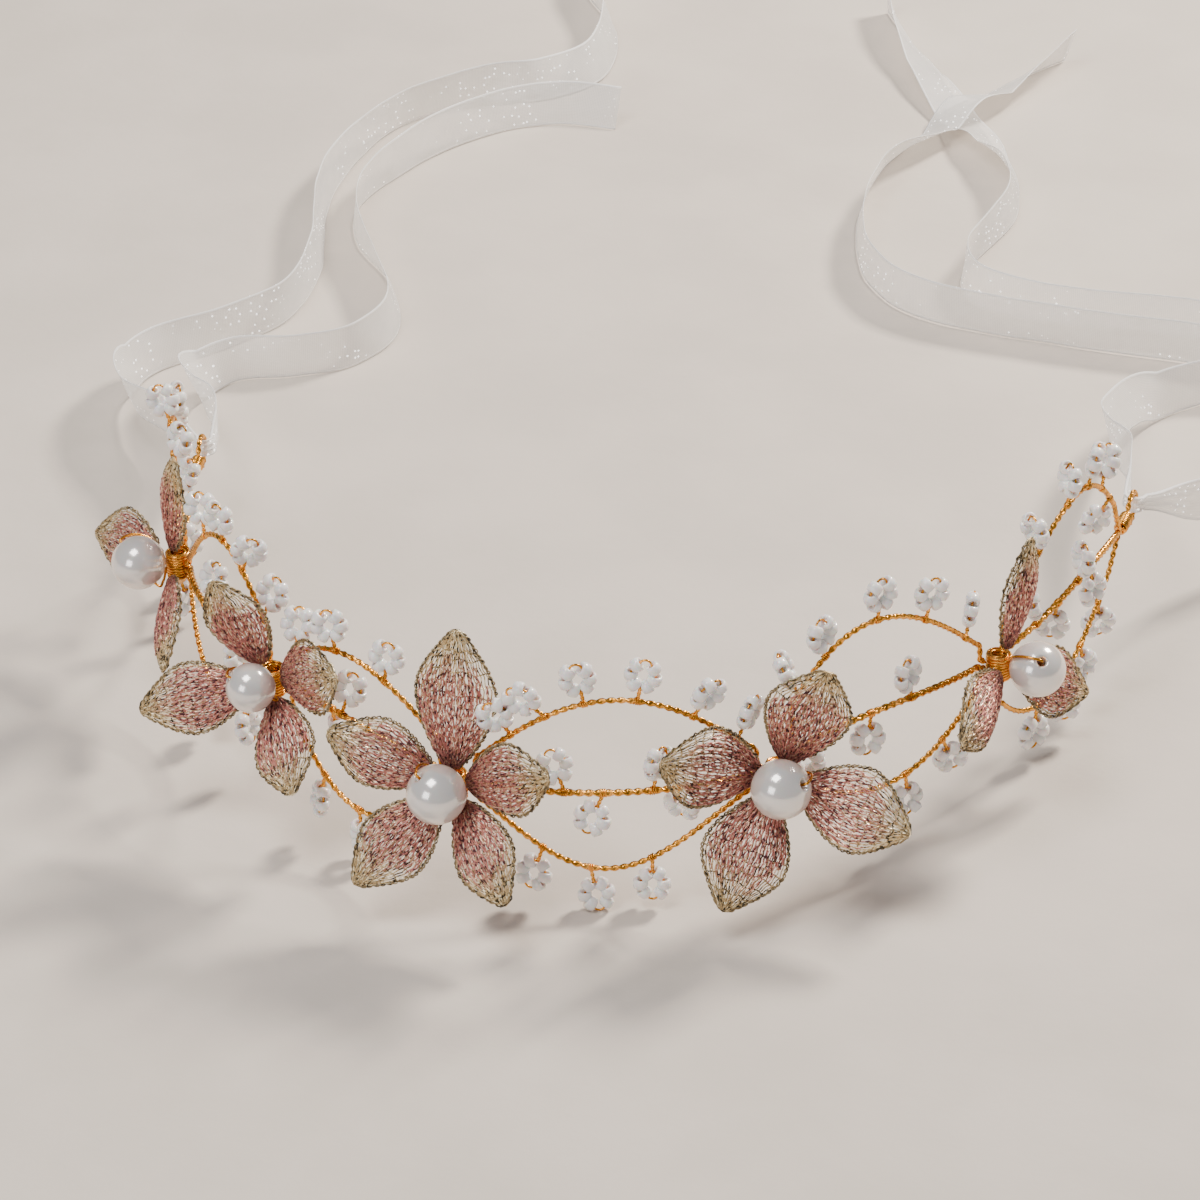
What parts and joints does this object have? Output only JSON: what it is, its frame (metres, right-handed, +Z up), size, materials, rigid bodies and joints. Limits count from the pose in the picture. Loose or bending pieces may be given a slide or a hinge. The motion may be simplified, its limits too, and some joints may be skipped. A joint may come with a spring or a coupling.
{
  "type": "flower crown",
  "caption": "Bridal hair vine of twisted gilt wire with thread-petal flowers, pearls, seed-bead sprigs and organza ribbon ties.",
  "frame": {"origin": "on the ground at the middle of the head opening: the centre of the band's half-ellipse, at the level the crown stands on", "axes": "+Z up, +Y towards the open back where the ribbons are tied, -Y towards the front flower, +X to the right as seen from the front"},
  "size_m": [0.2429, 0.4202, 0.0573],
  "materials": {
    "petal_thread": "knitted metallic thread, plum at the base to pale gold at the tip",
    "pearl": "pearlescent coat",
    "gilt_wire": "bright gilt, twisted",
    "seed_bead": "opaque white glass seed beads on gilt wire",
    "organza": "sheer white organza with fine glitter"
  },
  "bodies": {
    "centre": {"flower_3_petal_1": "petal_thread", "flower_3_petal_2": "petal_thread", "flower_3_petal_3": "petal_thread", "flower_3_petal_4": "petal_thread", "flower_3_petal_5": "petal_thread", "flower_3_binding": "gilt_wire", "flower_3_pearl_wire": "gilt_wire", "span_2_upper_vine": "seed_bead", "span_2_middle_vine": "seed_bead", "span_2_lower_vine": "seed_bead", "span_3_upper_vine": "seed_bead", "span_3_middle_vine": "seed_bead", "span_3_lower_vine": "seed_bead"},
    "left_wing": {"flower_2_petal_1": "petal_thread", "flower_2_petal_2": "petal_thread", "flower_2_petal_3": "petal_thread", "flower_2_petal_4": "petal_thread", "flower_2_binding": "gilt_wire", "flower_2_pearl_wire": "gilt_wire", "span_1_upper_vine": "seed_bead", "span_1_middle_vine": "seed_bead", "span_1_lower_vine": "seed_bead"},
    "left_tip": {"flower_1_petal_1": "petal_thread", "flower_1_petal_2": "petal_thread", "flower_1_petal_3": "petal_thread", "flower_1_binding": "gilt_wire", "flower_1_pearl_wire": "gilt_wire", "span_0_upper_vine": "seed_bead", "span_0_middle_vine": "seed_bead", "span_0_lower_vine": "seed_bead", "left_end_loop": "gilt_wire"},
    "left_tails": {"left_ribbon": "organza"},
    "right_wing": {"flower_4_petal_1": "petal_thread", "flower_4_petal_2": "petal_thread", "flower_4_petal_3": "petal_thread", "flower_4_petal_4": "petal_thread", "flower_4_binding": "gilt_wire", "flower_4_pearl_wire": "gilt_wire", "span_4_upper_vine": "seed_bead", "span_4_middle_vine": "seed_bead", "span_4_lower_vine": "seed_bead"},
    "right_tip": {"flower_5_petal_1": "petal_thread", "flower_5_petal_2": "petal_thread", "flower_5_petal_3": "petal_thread", "flower_5_binding": "gilt_wire", "flower_5_pearl_wire": "gilt_wire", "span_5_upper_vine": "seed_bead", "span_5_middle_vine": "seed_bead", "span_5_lower_vine": "seed_bead", "right_end_loop": "gilt_wire"},
    "right_tails": {"right_ribbon": "organza"},
    "pearl_1": {"flower_1_pearl": "pearl"},
    "pearl_2": {"flower_2_pearl": "pearl"},
    "pearl_3": {"flower_3_pearl": "pearl"},
    "pearl_4": {"flower_4_pearl": "pearl"},
    "pearl_5": {"flower_5_pearl": "pearl"}
  },
  "joints": [
    {"name": "left_bend", "type": "hinge", "parent": "centre", "child": "left_wing", "pos_m": [-0.04385, -0.09771, 0.027], "axis": [0, 0, -1], "range_deg": [-4, 12]},
    {"name": "left_tip_bend", "type": "hinge", "parent": "left_wing", "child": "left_tip", "pos_m": [-0.07415, -0.06141, 0.024], "axis": [0, 0, -1], "range_deg": [-4, 12]},
    {"name": "left_ribbon_swivel", "type": "hinge", "parent": "left_tip", "child": "left_tails", "pos_m": [-0.08812, -0.0095, 0.0175], "axis": [0, 0, -1], "range_deg": [-30, 10]},
    {"name": "right_bend", "type": "hinge", "parent": "centre", "child": "right_wing", "pos_m": [0.04371, -0.09781, 0.023], "axis": [0, 0, 1], "range_deg": [-4, 12]},
    {"name": "right_tip_bend", "type": "hinge", "parent": "right_wing", "child": "right_tip", "pos_m": [0.07381, -0.06206, 0.0272], "axis": [0, 0, 1], "range_deg": [-4, 12]},
    {"name": "right_ribbon_swivel", "type": "hinge", "parent": "right_tip", "child": "right_tails", "pos_m": [0.08839, -0.00363, 0.0285], "axis": [0, 0, 1], "range_deg": [-30, 10]},
    {"name": "pearl_1_spin", "type": "hinge", "parent": "left_tip", "child": "pearl_1", "pos_m": [-0.07978, -0.06616, 0.02584], "axis": [-0.7084, 0.1863, 0.6808], "continuous": true},
    {"name": "pearl_2_spin", "type": "hinge", "parent": "left_wing", "child": "pearl_2", "pos_m": [-0.04545, -0.10417, 0.02916], "axis": [-0.8048, -0.2396, 0.543], "continuous": true},
    {"name": "pearl_3_spin", "type": "hinge", "parent": "centre", "child": "pearl_3", "pos_m": [-0.00849, -0.11936, 0.02427], "axis": [-0.5478, -0.2625, 0.7944], "continuous": true},
    {"name": "pearl_4_spin", "type": "hinge", "parent": "right_wing", "child": "pearl_4", "pos_m": [0.04575, -0.10498, 0.02528], "axis": [0.8294, -0.2256, 0.5111], "continuous": true},
    {"name": "pearl_5_spin", "type": "hinge", "parent": "right_tip", "child": "pearl_5", "pos_m": [0.0808, -0.0644, 0.02904], "axis": [0.2167, -0.6278, 0.7476], "continuous": true}
  ],
  "couplings": [
    {"joint": "left_tip_bend", "follows": "left_bend", "ratio": 1},
    {"joint": "left_ribbon_swivel", "follows": "left_bend", "ratio": -2.5},
    {"joint": "right_tip_bend", "follows": "right_bend", "ratio": 1},
    {"joint": "right_ribbon_swivel", "follows": "right_bend", "ratio": -2.5}
  ]
}
